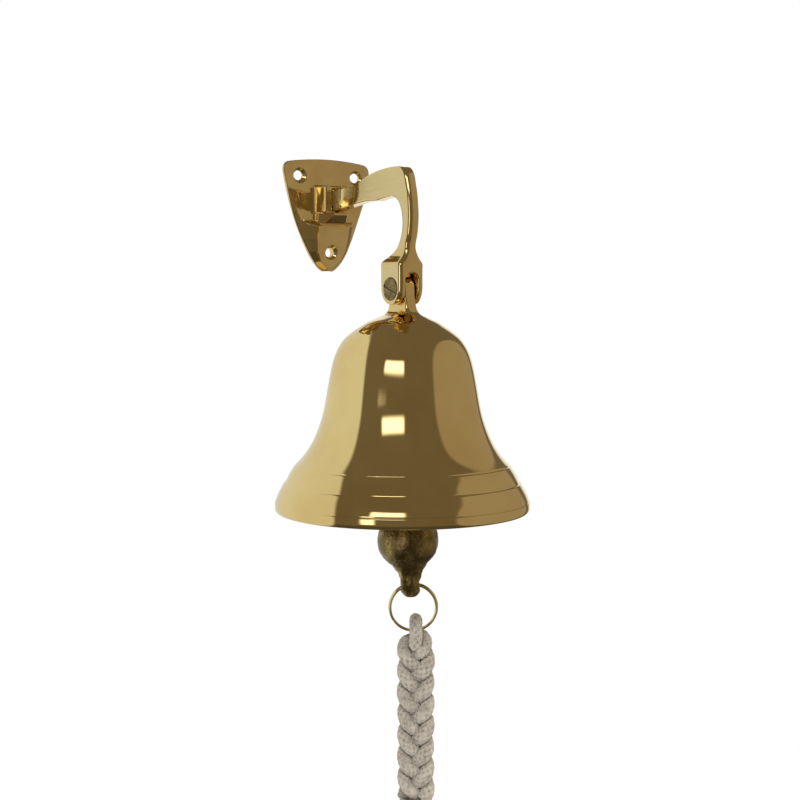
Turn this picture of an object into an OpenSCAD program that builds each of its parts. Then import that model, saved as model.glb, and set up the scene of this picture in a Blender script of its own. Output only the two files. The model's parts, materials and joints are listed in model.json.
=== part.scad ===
// Wall-hung brass ship bell on a lift-out bracket, with clapper, split ring and rope lanyard.
// The wall is the plane Y = 0, the bell hangs in front of it towards -Y, and +Z is up.
// The origin is the centre of the wall plate's back face.  Outlines are chains of arcs, in which
// each node holds two coordinates and the height of the arc that leads on to the next node.

/* [Wall plate] */
// Distance from the wall to the bell's axis
reach = 79.5; // [78:0.5:82]
// Thickness of the domed plate at its middle
plate_t = 3.4; // [3.2:0.1:4]
// Radius of the plate's domed front
plate_dome_r = 450; // [400:10:600]
// Distance between the two upper screw holes
screw_spacing = 42.4; // [40:0.1:44]
// Height of the two upper screw holes
upper_hole_z = 22; // [20:0.1:23]
// Height of the lower screw hole
lower_hole_z = -25.2; // [-27:0.1:-24]
// Diameter of the three screw holes
screw_hole_d = 5.9; // [5.5:0.1:6.4]
// Diameter of the 90 degree countersinks
countersink_d = 9.4; // [8.4:0.1:9.8]

/* [Bracket] */
// Thickness of the flat-sided arm
arm_t = 8; // [6:0.1:8.4]
// Width of the fork that holds the bell
fork_w = 18; // [17:0.1:20]
// Width of the slot in the fork
slot_w = 9.2; // [9:0.1:10]
// Height of the pivot screw's axis
pivot_z = -48; // [-49:0.1:-47]
// Diameter of the pivot screw's shank
pivot_d = 6; // [5:0.1:6.4]
// Diameter of the pivot screw's slotted head
screw_head_d = 13; // [11:0.1:14]
// Sliding gap between the arm's tang and the wall socket
tang_gap = 0.25; // [0.15:0.05:0.4]

/* [Bell] */
// Thickness of the lug that hangs in the fork
lug_t = 8.3; // [7:0.1:8.4]
// Running clearance of the lug on the pivot screw
pivot_clearance = 0.06; // [0.02:0.01:0.1]

/* [Clapper] */
// Angle of the clapper's broad side about the bell's axis
clapper_turn = -37; // [-90:1:90]
// Sideways offset of the staple from the bell's axis
hang_offset = 3.2; // [0:0.1:4]
// Diameter of the staple's wire
staple_wire_d = 4; // [3:0.1:4.4]
// Diameter of the link's wire
link_wire_d = 3.5; // [3:0.1:3.8]

/* [Lanyard] */
// Outer diameter of the split ring
ring_d = 29.6; // [29:0.1:31]
// Thickness of the split ring's wire
ring_wire_d = 1.7; // [1.4:0.1:1.7]
// Diameter of one rope strand
strand_d = 8.6; // [7.4:0.1:8.6]
// Diameter of the plaited rope
plait_d = 23; // [20:0.5:24]
// Diameter of the knot under the plait
knot_d = 28; // [25:0.5:32]

/* [Hidden] */
$fn = 96;

BRASS = [0.80, 0.60, 0.25];
DARK_BRASS = [0.45, 0.36, 0.16];
PALE_BRASS = [0.88, 0.76, 0.42];
COTTON = [0.72, 0.68, 0.62];

// Radius that the plate's dome is turned to, past its farthest corner
dome_rim = 46;

// Raised rib below the socket; its face leans back towards the plate's tip
rib_top = -8.7;
rib_depth = 8.8;
rib_lean = 0.186;
rib_face = [[-11.6, rib_top], [11.6, rib_top], [10.2, -25], [1.5, -35.8], [-1.5, -35.8], [-10.2, -25]];
rib_foot = [[-22, -5], [22, -5], [20, -24], [8, -38], [-8, -38], [-20, -24]];

// Socket on the wall plate, in which the arm's tang stands, and the ledge below it
socket_w = 20;
socket_top = 15.7;
socket_front = 12.6;
pocket_back = 5.2;
pocket_front = 9.8;
pocket_w = 12.6;
ledge_top = -1;
ledge_t = 1.6;
ledge_w = 10;
ledge_back = 6;
ledge_front = 16.5;

// Root of the arm, with a round hollow on each side that starts at an upright step
root_top = 13.2;
blade_back = socket_front + tang_gap;
scoop_r = 34;
scoop_depth = 2.1;
scoop_start = 20.5;
scoop_mid = [28.8, 12];

// Pivot screw: depth of its head in the fork's side, its rise above that side, and its slot
head_depth = 2.2;
head_rise = 0.4;
screw_slot_w = 1.3;
screw_slot_turn = 18;

// Hanging gear, from the staple down to the lanyard
hang_gap = 0.3;
crown_ceiling = -70.4;
leg_depth = 4;
staple_r = 6;
staple_bend_z = -78;
staple_seat_z = staple_bend_z - staple_r;
link_r = 5.5;
link_straight = 12;
link_top_z = staple_seat_z + (staple_wire_d + link_wire_d) / 2 + hang_gap;
link_low_z = link_top_z - 2 * link_r - link_straight;
eye_t = 5;
eye_r = 6.2;
eye_hole_r = 3.4;
eye_z = link_low_z - 0.25;
tail_shift = 1.5;
tail_hole_r = 3.8;
tail_hole_z = -222.4;
ring_shift = 3.2;
rope_shift = 1.6;
ring_r = (ring_d - ring_wire_d) / 2;
ring_top_z = tail_hole_z - 0.5;
ring_z = ring_top_z - ring_r;
ring_low_z = ring_z - ring_r;
ring_turn_gap = 1.4;
bight_r = (ring_wire_d + strand_d) / 2 + 0.7;
plait_top = -255.5;
plait_low = -352;
knot_low = -372;
tassel_low = -394;

// Route of the plaited rope, straight down from the split ring
plait_route = [for (z = [plait_top, plait_low]) [0, 0, z]];

// Plate outline (x, z), clockwise from the top left corner
plate_nodes = [[-28.4, 30.5, 2], [28.4, 30.5, 1.5], [32.3, 24.7, 2.1], [15.2, -24, 0.4],
               [8, -34, 3.6], [-8, -34, 0.4], [-15.2, -24, 2.1], [-32.3, 24.7, 1.5]];

// Side outline of the arm and its fork (distance from the wall, z), clockwise from the root's top
arm_nodes = [[blade_back, root_top, 0], [24.8, 13.4, -0.7], [43.5, 17.4, 0.5], [59.5, 21.9, 0.5],
             [reach - 0.5, 23.2, 2.7], [reach + 9.2, 14.5, 0.5], [reach + 12, -0.8, 0.5],
             [reach + 11.5, -14, 0.4], [reach + 9.5, -21, -0.2], [reach + 9.5, -28, 0],
             [reach + 9.5, pivot_z, 9.5], [reach - 9.5, pivot_z, 0], [reach - 9.5, -31, -1.36],
             [reach + 1.8, -20.5, -0.8], [reach + 4.2, -9, -0.48], [reach + 2.6, 0, -1.36],
             [reach - 5.5, 6.1, -0.4], [57.1, 4.2, -0.6], [37, 3.4, -0.1], [blade_back, -0.6, 0]];

// Right half of the arm's front outline (x, z), from the top down
arm_front_nodes = [[arm_t / 2, 30, 0], [arm_t / 2, -24, -0.8], [fork_w / 2 - 0.8, -32, 0.5],
                   [fork_w / 2, -36, 0], [fork_w / 2, -60, 0]];

// Half section of the bell (radius, z): down the outside with its three turned steps, round the
// lip and up the inside
bell_nodes = [[0, -60.5, 0], [8, -60.5, -1.4], [24.1, -69.5, 1], [36.1, -80, 1],
              [42.5, -96.5, -0.5], [48.1, -124.8, -2.2], [63, -151, 0], [63.5, -151.4, 0.4],
              [69.2, -161.6, 0], [70.2, -162.2, 0.45], [75, -172.2, 0], [75.3, -172.6, 0.1],
              [75.1, -177.2, 0.5], [73.2, -178.8, 0], [70.6, -178.8, 0.4], [68.3, -177.2, 0],
              [61.9, -160, 2.3],
              [44.8, -124.8, 0.5], [39.4, -96.5, -1], [33.2, -82.4, -1.6], [18, -72.6, -0.4],
              [0, crown_ceiling, 0]];

// Half outline of the bell's lug below its eye (distance from the bell's axis, z)
lug_nodes = [[0, pivot_z, 0], [7.3, pivot_z, -0.2], [9.2, -58, -0.3], [11, -66, 0], [0, -66, 0]];

// Half section of the clapper's shank and ball (radius, z)
ball_nodes = [[0, -106.8, 0], [3.4, -106.8, 0], [4.4, -172, -0.6], [7, -179.7, 5.47],
              [16.8, -203.9, 0.35], [10.9, -210.8, -0.5], [7.5, -214, 0], [0, -216, 0]];

// Half section of the clapper's tail (radius, z)
tail_nodes = [[0, -208, 0], [7.4, -212.5, -0.5], [6.1, -217.5, 0.1], [6, -224, 0.3],
              [4.7, -228.5, 1], [0, -230.8, 0]];

// Points of the arc from p to q whose middle stands h to the left of the chord, without q
function arc(p, q, h, steps) =
    h == 0 ? [p]
    : let (chord = norm(q - p),
           half = 2 * atan(2 * h / chord),
           r = chord / (2 * sin(half)),
           along = (q - p) / chord,
           across = [-along[1], along[0]])
      [for (k = [0:steps - 1])
          let (a = half * (2 * k / steps - 1))
          p + along * (chord / 2 + r * sin(a)) + across * r * (cos(a) - cos(half))];

// Open chain of arcs through all the nodes
function chain(nodes, steps = 8) =
    concat([for (i = [0:len(nodes) - 2])
               each arc([nodes[i][0], nodes[i][1]], [nodes[i + 1][0], nodes[i + 1][1]],
                        nodes[i][2], steps)],
           [[nodes[len(nodes) - 1][0], nodes[len(nodes) - 1][1]]]);

// Closed loop of arcs through all the nodes
function loop(nodes, steps = 8) =
    let (closed = chain(concat(nodes, [nodes[0]]), steps))
    [for (i = [0:len(closed) - 2]) closed[i]];

// Both halves of an outline that is symmetric about its second axis
function both_sides(half) =
    concat(half, [for (i = [len(half) - 1:-1:0]) [-half[i][0], half[i][1]]]);

// Slab of an outline seen from the side, centred on X = 0
module side_slab(width) rotate([90, 0, -90]) linear_extrude(width, center = true) children();

// Block of an outline seen from the front, between two distances from the wall
module front_block(back, front)
    translate([0, -back, 0]) rotate([90, 0, 0]) linear_extrude(front - back) children();

// Cylinder along X on the pivot's axis
module on_pivot(r, x0, x1)
    translate([x0, -reach, pivot_z]) rotate([0, 90, 0]) cylinder(r = r, h = x1 - x0);

// Frame of the hanging gear: local X is the clapper's broad direction
module hanging(shift = 0)
    translate([0, -reach, 0]) rotate([0, 0, clapper_turn]) translate([shift, 0, 0]) children();

// Half ring of wire in the XZ plane, open upwards
module lower_bend(r, wire_d)
    rotate([-90, 0, 0]) rotate_extrude(angle = 180) translate([r, 0]) circle(d = wire_d);

// Half ring of wire in the XZ plane, open downwards
module upper_bend(r, wire_d)
    rotate([90, 0, 0]) rotate_extrude(angle = 180) translate([r, 0]) circle(d = wire_d);

// Closed tube along a route
module swept_tube(route, d, sides = 12) {
    count = len(route);
    points = [for (p = route) each [for (k = [0:sides - 1])
                 p + d / 2 * [cos(360 * k / sides), sin(360 * k / sides), 0]]];
    walls = [for (i = [0:count - 2]) for (k = [0:sides - 1])
                let (a = i * sides + k, b = i * sides + (k + 1) % sides)
                [a, b, b + sides, a + sides]];
    caps = [[for (k = [sides - 1:-1:0]) k], [for (k = [0:sides - 1]) (count - 1) * sides + k]];
    polyhedron(points, concat(walls, caps));
}

// Solid between two outlines that have the same number of points
module loft(back, front) {
    count = len(back);
    walls = [for (i = [0:count - 1])
                let (j = (i + 1) % count) each [[i, j, count + j], [i, count + j, count + i]]];
    caps = [[for (i = [count - 1:-1:0]) i], [for (i = [0:count - 1]) count + i]];
    polyhedron(concat(back, front), concat(walls, caps));
}

// Screw hole through the plate, with its countersink
module screw_hole(x, z, front)
    translate([x, 0, z]) rotate([90, 0, 0]) {
        sink = (countersink_d - screw_hole_d) / 2;
        translate([0, 0, -1]) cylinder(d = screw_hole_d, h = front + 2);
        translate([0, 0, front - sink]) cylinder(d1 = screw_hole_d, d2 = countersink_d, h = sink);
        translate([0, 0, front]) cylinder(d = countersink_d, h = rib_depth);
    }

// Depth of the plate's domed front at a distance from its middle
function dome_depth(rho) = plate_t - plate_dome_r + sqrt(plate_dome_r * plate_dome_r - rho * rho);

// Depth of the rib's leaning face
function rib_front(z) = rib_depth - rib_lean * (rib_top - z);

// Shallow dome out to a rim beyond the plate's farthest corner
module dome()
    rotate([90, 0, 0]) rotate_extrude($fn = 180)
        polygon(concat([[0, 0], [dome_rim, 0]],
                       [for (rho = [dome_rim:-2:0]) [rho, dome_depth(rho)]]));

// Domed plate with a raised rib, whose flanks slope down to the plate's lower edges
module plate_body() {
    intersection() {
        front_block(0, plate_t + 1) polygon(loop(plate_nodes));
        dome();
    }
    intersection() {
        front_block(0, rib_depth + 1) polygon(loop(plate_nodes));
        loft([for (p = rib_foot) [p[0], 0, p[1]]], [for (p = rib_face) [p[0], -rib_front(p[1]), p[1]]]);
    }
}

// Rectangle about X = 0 at one distance from the wall
function upright(half_w, depth, low, high) =
    [[-half_w, -depth, high], [half_w, -depth, high], [half_w, -depth, low], [-half_w, -depth, low]];

// Socket block, and the ledge that narrows and rises towards its front
module socket_block() {
    translate([-socket_w / 2, -socket_front, ledge_top])
        cube([socket_w, socket_front - 2, socket_top - ledge_top]);
    loft(upright(socket_w / 2, ledge_back, rib_top - 0.8, ledge_top),
         upright(ledge_w / 2, ledge_front, ledge_top - ledge_t, ledge_top));
}

// Pocket for the tang's head, and the slot for its neck
module socket_cavity() {
    translate([-pocket_w / 2, -pocket_front, 0])
        cube([pocket_w, pocket_front - pocket_back, socket_top + 1]);
    front_block(pocket_front - 1, socket_front + 1) {
        translate([0, arm_t / 2]) circle(r = arm_t / 2 + tang_gap);
        translate([-arm_t / 2 - tang_gap, arm_t / 2])
            square([arm_t + 2 * tang_gap, socket_top]);
    }
}

module wall_plate() color(BRASS) difference() {
    union() {
        plate_body();
        socket_block();
    }
    socket_cavity();
    for (side = [-1, 1])
        screw_hole(side * screw_spacing / 2, upper_hole_z,
                   dome_depth(norm([screw_spacing / 2, upper_hole_z])));
    screw_hole(0, lower_hole_z, rib_front(lower_hole_z));
}

// Tang: a head inside the pocket and a neck through its slot
module tang() {
    translate([-pocket_w / 2 + tang_gap, -pocket_front + tang_gap, 0])
        cube([pocket_w - 2 * tang_gap, pocket_front - pocket_back - 2 * tang_gap, root_top]);
    front_block(pocket_front - tang_gap, blade_back) {
        translate([0, arm_t / 2]) circle(d = arm_t);
        translate([-arm_t / 2, arm_t / 2]) square([arm_t, root_top - arm_t / 2]);
    }
}

// Round hollow in the side of the arm's root
module root_scoop(side) intersection() {
    translate([side * (arm_t / 2 + scoop_r - scoop_depth), -scoop_mid[0], scoop_mid[1]])
        sphere(r = scoop_r);
    translate([-arm_t, -60, -20]) cube([2 * arm_t, 60 - scoop_start, 60]);
}

module bracket_arm() color(BRASS) {
    difference() {
        intersection() {
            side_slab(fork_w + 2) polygon(loop(arm_nodes));
            front_block(0, reach + 20) polygon(both_sides(chain(arm_front_nodes)));
        }
        front_block(reach - 12, reach + 12.9) {
            translate([0, pivot_z + 5]) circle(d = slot_w);
            translate([-slot_w / 2, pivot_z - 12]) square([slot_w, 17]);
        }
        on_pivot(pivot_d / 2 + 0.02, -fork_w, fork_w);
        on_pivot(screw_head_d / 2 + 0.15, -fork_w, -fork_w / 2 + head_depth);
        for (side = [-1, 1]) root_scoop(side);
    }
    tang();
}

module pivot_screw() color(DARK_BRASS) difference() {
    union() {
        on_pivot(pivot_d / 2, -fork_w / 2 + 1, fork_w / 2);
        on_pivot(screw_head_d / 2, -fork_w / 2 - head_rise, -fork_w / 2 + head_depth);
    }
    translate([-fork_w / 2, -reach, pivot_z]) rotate([screw_slot_turn, 0, 0])
        cube([2, 2 * screw_head_d, screw_slot_w], center = true);
}

// Eye of the bell's lug: a disc with chamfered rims about the pivot
module lug_eye() {
    rim = [[0, -lug_t / 2], [5.8, -lug_t / 2], [7.3, -lug_t / 2 + 1.5], [7.3, lug_t / 2 - 1.5],
           [5.8, lug_t / 2], [0, lug_t / 2]];
    translate([0, -reach, pivot_z]) rotate([0, 90, 0]) rotate_extrude() polygon(rim);
}

// Blind holes in the crown that take the staple's legs
module leg_holes(extra)
    hanging(hang_offset)
        for (side = [-1, 1])
            translate([0, side * staple_r, crown_ceiling - 6])
                cylinder(d = staple_wire_d + extra, h = leg_depth + 6);

module bell_body() color(BRASS) difference() {
    union() {
        translate([0, -reach, 0]) rotate_extrude($fn = 180) polygon(chain(bell_nodes, 6));
        lug_eye();
        translate([0, -reach, 0]) side_slab(lug_t) polygon(both_sides(chain(lug_nodes)));
    }
    on_pivot(pivot_d / 2 + pivot_clearance, -fork_w, fork_w);
    leg_holes(0.1);
}

// U-shaped staple under the crown
module crown_staple() color(DARK_BRASS) hanging(hang_offset) rotate([0, 0, 90]) {
    translate([0, 0, staple_bend_z]) lower_bend(staple_r, staple_wire_d);
    for (side = [-1, 1])
        translate([side * staple_r, 0, staple_bend_z])
            cylinder(d = staple_wire_d, h = crown_ceiling + leg_depth - 0.1 - staple_bend_z);
}

// Oval link between the staple and the clapper's eye
module clapper_link() color(DARK_BRASS) hanging(hang_offset) {
    translate([0, 0, link_top_z - link_r]) upper_bend(link_r, link_wire_d);
    translate([0, 0, link_low_z + link_r]) lower_bend(link_r, link_wire_d);
    for (side = [-1, 1])
        translate([side * link_r, 0, link_low_z + link_r])
            cylinder(d = link_wire_d, h = link_straight);
}

module clapper() color(DARK_BRASS) hanging(hang_offset) difference() {
    union() {
        rotate_extrude() polygon(chain(ball_nodes));
        translate([tail_shift, 0, 0]) rotate_extrude() polygon(chain(tail_nodes));
        translate([-eye_t / 2, 0, eye_z]) rotate([0, 90, 0]) cylinder(r = eye_r, h = eye_t);
    }
    translate([-10, 0, eye_z]) rotate([0, 90, 0]) cylinder(r = eye_hole_r, h = 20);
    translate([-10, 0, tail_hole_z]) rotate([0, 90, 0]) cylinder(r = tail_hole_r, h = 20);
}

// Split ring: two turns of wire side by side
module split_ring() color(PALE_BRASS) hanging(hang_offset + ring_shift)
    translate([0, 0, ring_z]) rotate([90, 0, 0])
        rotate_extrude() translate([ring_r, 0]) {
            for (side = [-1, 1]) translate([0, side * ring_turn_gap / 2]) circle(d = ring_wire_d);
            square([ring_wire_d * 0.7, ring_turn_gap], center = true);
        }

// Bight of rope over the ring's lowest wire
module lanyard_bight() color(COTTON) hanging(hang_offset + ring_shift + rope_shift) rotate([0, 0, 90])
    translate([0, 0, ring_low_z]) {
        upper_bend(bight_r, strand_d);
        for (side = [-1, 1])
            translate([side * bight_r, 0, plait_top - ring_low_z])
                cylinder(d = strand_d, h = ring_low_z - plait_top);
    }

module lanyard_plait() color(COTTON) hanging(hang_offset + ring_shift + rope_shift)
    swept_tube(plait_route, plait_d);

// Knot that ends the plait
module lanyard_knot() color(COTTON) hanging(hang_offset + ring_shift + rope_shift)
    rotate_extrude()
        polygon(chain([[0, plait_low, 0], [plait_d / 2 - 1, plait_low, 1.5],
                       [knot_d / 2, (plait_low + knot_low) / 2, 1.5],
                       [7, knot_low, 0], [0, knot_low, 0]]));

// Short tassel of loose rope ends
module lanyard_tassel() color(COTTON) hanging(hang_offset + ring_shift + rope_shift)
    rotate_extrude()
        polygon(chain([[0, knot_low, 0], [7, knot_low, -0.4], [11, tassel_low + 1, 0.3],
                       [10, tassel_low, 0], [0, tassel_low, 0]]));

wall_plate();
bracket_arm();
pivot_screw();
bell_body();
crown_staple();
clapper_link();
clapper();
split_ring();
lanyard_bight();
lanyard_plait();
lanyard_knot();
lanyard_tassel();
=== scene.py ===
"""Looks of a wall-hung brass ship bell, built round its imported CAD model.

The shape functions work in millimetres in the row frame: the wall is the plane y = 0, the bell
hangs towards -y, and z is up.  Meshes are made in metres.
"""
import json
import math

import bpy
import numpy as np
from mathutils import Matrix, Vector, noise


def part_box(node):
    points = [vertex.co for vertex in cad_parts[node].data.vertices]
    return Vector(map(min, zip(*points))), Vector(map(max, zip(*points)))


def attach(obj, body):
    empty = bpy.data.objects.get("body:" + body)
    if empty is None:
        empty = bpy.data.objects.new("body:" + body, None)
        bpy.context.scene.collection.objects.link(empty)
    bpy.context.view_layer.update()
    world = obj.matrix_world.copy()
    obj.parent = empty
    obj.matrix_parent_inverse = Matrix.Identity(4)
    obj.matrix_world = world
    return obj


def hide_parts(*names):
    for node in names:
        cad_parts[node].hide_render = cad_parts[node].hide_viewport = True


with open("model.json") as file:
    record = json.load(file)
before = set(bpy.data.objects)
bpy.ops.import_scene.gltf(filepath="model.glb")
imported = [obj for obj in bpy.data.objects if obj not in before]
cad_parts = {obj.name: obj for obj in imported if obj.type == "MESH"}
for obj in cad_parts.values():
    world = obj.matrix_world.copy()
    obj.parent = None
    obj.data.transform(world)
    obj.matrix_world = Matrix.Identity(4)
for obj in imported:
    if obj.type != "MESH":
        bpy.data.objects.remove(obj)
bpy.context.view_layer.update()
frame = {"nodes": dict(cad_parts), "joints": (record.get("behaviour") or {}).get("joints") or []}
JOINTS = {joint["name"]: joint for joint in frame["joints"]}


def joint_point(name):
    """A joint's place at rest, in millimetres."""
    return 1000 * np.array(JOINTS[name]["pos_m"])


# Places that the CAD model holds
PIVOT = joint_point("bell_swing")
REACH = -PIVOT[1]
PIVOT_Z = PIVOT[2]
HANG = joint_point("clapper_swing")
RING_TOP = joint_point("ring_swing")
RING_LOW = joint_point("lanyard_swing")
ACROSS = np.array(JOINTS["clapper_swing"]["axis"])
DEPTH = np.array(JOINTS["link_swing"]["axis"])

# ---------------------------------------------------------------- camera

CAMERA_AZIMUTH = math.radians(-37)
CAMERA_ELEVATION = math.radians(4.2)
CAMERA_DISTANCE = 0.87
CAMERA_LENS = 66.47
CAMERA_TARGET = (0, -REACH / 1000, -0.1132)
CAMERA_SIDESTEP = 0.00147


def look_axes():
    """The camera's right, up and backward directions."""
    back = Vector((math.sin(CAMERA_AZIMUTH) * math.cos(CAMERA_ELEVATION),
                   -math.cos(CAMERA_AZIMUTH) * math.cos(CAMERA_ELEVATION),
                   math.sin(CAMERA_ELEVATION)))
    right = Vector((math.cos(CAMERA_AZIMUTH), math.sin(CAMERA_AZIMUTH), 0))
    return right, back.cross(right), back


def add_camera():
    right, up, back = look_axes()
    camera = bpy.data.objects.new("camera", bpy.data.cameras.new("camera"))
    bpy.context.scene.collection.objects.link(camera)
    camera.data.lens = CAMERA_LENS
    camera.data.sensor_width = 36
    camera.data.clip_start = 0.05
    place = Vector(CAMERA_TARGET) - CAMERA_SIDESTEP * right + CAMERA_DISTANCE * back
    turn = Matrix((right, up, back)).transposed().to_4x4()
    camera.matrix_world = Matrix.Translation(place) @ turn
    bpy.context.scene.camera = camera


# ---------------------------------------------------------------- outlines


def arc(p, q, height, steps):
    """Points of the arc from p to q whose middle stands height to the left, without q."""
    p, q = np.array(p, float), np.array(q, float)
    if height == 0:
        return [p]
    chord = np.linalg.norm(q - p)
    half = 2 * math.atan(2 * height / chord)
    radius = chord / (2 * math.sin(half))
    along = (q - p) / chord
    across = np.array([-along[1], along[0]])
    angles = [half * (2 * k / steps - 1) for k in range(steps)]
    return [p + along * (chord / 2 + radius * math.sin(a))
            + across * radius * (math.cos(a) - math.cos(half)) for a in angles]


def chain(nodes, steps=8):
    """Open chain of arcs through nodes of (first, second, arc height)."""
    points = []
    for a, b in zip(nodes, nodes[1:]):
        points += arc(a[:2], b[:2], a[2], steps)
    return np.array(points + [np.array(nodes[-1][:2], float)])


def resample(points, step, closed=False):
    """Points at even steps along a line."""
    if closed:
        points = np.vstack([points, points[:1]])
    run = np.r_[0, np.cumsum(np.linalg.norm(np.diff(points, axis=0), axis=1))]
    count = max(2, int(round(run[-1] / step)) + 1)
    at = np.linspace(0, run[-1], count)
    result = np.stack([np.interp(at, run, points[:, k]) for k in range(points.shape[1])], 1)
    return result[:-1] if closed else result


def soft_loop(nodes, step=0.8, soften=1.2):
    """Closed chain of arcs, evened out so that no corner stays between the arcs."""
    points = resample(chain(list(nodes) + [nodes[0]]), step, closed=True)
    reach = int(3 * soften / step)
    offsets = np.arange(-reach, reach + 1)
    weights = np.exp(-0.5 * (offsets * step / soften) ** 2)
    weights /= weights.sum()
    return sum(w * np.roll(points, k, axis=0) for k, w in zip(offsets, weights))


def spline(points, per_span=12):
    """Smooth curve through the points, with even curvature between them (natural cubic)."""
    points = np.array(points, float)
    run = np.r_[0, np.cumsum(np.linalg.norm(np.diff(points, axis=0), axis=1))]
    n = len(points)
    gap = np.diff(run)
    system = np.eye(n)
    rhs = np.zeros_like(points)
    for i in range(1, n - 1):
        system[i, i - 1:i + 2] = gap[i - 1], 2 * (gap[i - 1] + gap[i]), gap[i]
        rhs[i] = 6 * ((points[i + 1] - points[i]) / gap[i] - (points[i] - points[i - 1]) / gap[i - 1])
    bend = np.linalg.solve(system, rhs)
    curve = []
    for i in range(n - 1):
        for k in range(per_span):
            t = k / per_span
            a, b = (1 - t) * gap[i], t * gap[i]
            curve.append((1 - t) * points[i] + t * points[i + 1]
                         + ((a ** 3 / gap[i] - a * gap[i]) * bend[i]
                            + (b ** 3 / gap[i] - b * gap[i]) * bend[i + 1]) / 6)
    return np.array(curve + [points[-1]])


# ---------------------------------------------------------------- signed distances


def outline_distance(u, v, points):
    """Signed distance to a closed outline, negative inside."""
    u, v = np.broadcast_arrays(u, v)
    best = np.full(u.shape, 1e9)
    inside = np.zeros(u.shape, bool)
    for a, b in zip(points, np.roll(points, -1, axis=0)):
        eu, ev = b - a
        wu, wv = u - a[0], v - a[1]
        t = np.clip((wu * eu + wv * ev) / (eu * eu + ev * ev), 0, 1)
        best = np.minimum(best, (wu - t * eu) ** 2 + (wv - t * ev) ** 2)
        crosses = (a[1] <= v) != (b[1] <= v)
        inside ^= crosses & ((wu * ev < wv * eu) != (ev < 0))
    return np.where(inside, -1, 1) * np.sqrt(best)


def both(a, b, r):
    """Where a and b overlap, with the edge rounded to radius r."""
    corner = np.hypot(np.maximum(a + r, 0), np.maximum(b + r, 0))
    return np.minimum(-r, np.maximum(a, b)) + corner


def either(a, b, r):
    """a joined to b, with a fillet of radius r."""
    return -both(-a, -b, r)


def minus(a, b, r):
    """a with b cut out of it, with the edge rounded to radius r."""
    return both(a, -b, r)


def block(x, y, z, low, high, r):
    """Box from its low to its high corner, with rounded edges."""
    low, high = np.array(low, float), np.array(high, float)
    middle, half = (low + high) / 2, (high - low) / 2
    qx = np.abs(x - middle[0]) - half[0] + r
    qy = np.abs(y - middle[1]) - half[1] + r
    qz = np.abs(z - middle[2]) - half[2] + r
    outside = np.sqrt(np.maximum(qx, 0) ** 2 + np.maximum(qy, 0) ** 2 + np.maximum(qz, 0) ** 2)
    return outside + np.minimum(np.maximum(np.maximum(qx, qy), qz), 0) - r


def rod(rho, along, low, high, radius, r):
    """Cylinder of a radius between two places along its axis, with rounded rims."""
    return both(rho - radius, np.maximum(low - along, along - high), r)


# ---------------------------------------------------------------- meshes


def surface_of(distance, low, high, step):
    """Quads on the zero surface of a signed distance, moved exactly on to it."""
    axes = [np.arange(a, b + step, step) for a, b in zip(low, high)]
    field = distance(axes[0][:, None, None], axes[1][None, :, None], axes[2][None, None, :])
    field = np.broadcast_to(field, [len(a) for a in axes])
    full = np.sign(field) + (field == 0)
    shape = np.array(field.shape) - 1
    total = np.zeros(tuple(shape) + (3,))
    count = np.zeros(tuple(shape))
    for axis in range(3):
        a = np.moveaxis(field, axis, 0)
        crossing = np.moveaxis(full, axis, 0)[:-1] != np.moveaxis(full, axis, 0)[1:]
        with np.errstate(divide="ignore", invalid="ignore"):
            t = np.where(crossing, a[:-1] / (a[:-1] - a[1:]), 0)
        crossing, t = np.moveaxis(crossing, 0, axis), np.moveaxis(t, 0, axis)
        others = [k for k in range(3) if k != axis]
        for du in (0, 1):
            for dv in (0, 1):
                cut = [slice(None)] * 3
                cut[others[0]] = slice(du, du + shape[others[0]])
                cut[others[1]] = slice(dv, dv + shape[others[1]])
                hit = crossing[tuple(cut)]
                count += hit
                total[..., axis] += np.where(hit, t[tuple(cut)], 0)
                total[..., others[0]] += hit * du
                total[..., others[1]] += hit * dv
    cells = np.argwhere(count > 0)
    number = np.full(tuple(shape), -1)
    number[tuple(cells.T)] = np.arange(len(cells))
    corner = np.stack([axes[k][cells[:, k]] for k in range(3)], 1)
    points = corner + step * (total / np.maximum(count, 1)[..., None])[tuple(cells.T)]
    faces = []
    for axis in range(3):
        a, b = [k for k in range(3) if k != axis]
        low_side = np.take(full, range(shape[axis]), axis)
        high_side = np.take(full, range(1, shape[axis] + 1), axis)
        edges = np.argwhere(low_side != high_side)
        edges = edges[(edges[:, a] > 0) & (edges[:, a] < shape[a])
                      & (edges[:, b] > 0) & (edges[:, b] < shape[b])]
        ring = []
        for da, db in ((1, 1), (0, 1), (0, 0), (1, 0)):
            cell = edges.copy()
            cell[:, a] -= da
            cell[:, b] -= db
            ring.append(number[tuple(cell.T)])
        quads = np.stack(ring, 1)
        outward = (low_side[tuple(edges.T)] < 0) != (axis == 1)
        faces.append(np.where(outward[:, None], quads, quads[:, ::-1]))
    for _ in range(2):
        points -= slope_step(distance, points, 0.02)
    return points, np.vstack(faces)


def slope_step(distance, points, nudge):
    """How far each point must move to reach the zero surface."""
    here = distance(*points.T)
    slope = np.stack([distance(*(points + nudge * np.eye(3)[k]).T) - here for k in range(3)], 1)
    slope /= nudge
    size = np.maximum((slope ** 2).sum(1), 0.2)
    return np.clip(here / size, -0.5, 0.5)[:, None] * slope


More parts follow.
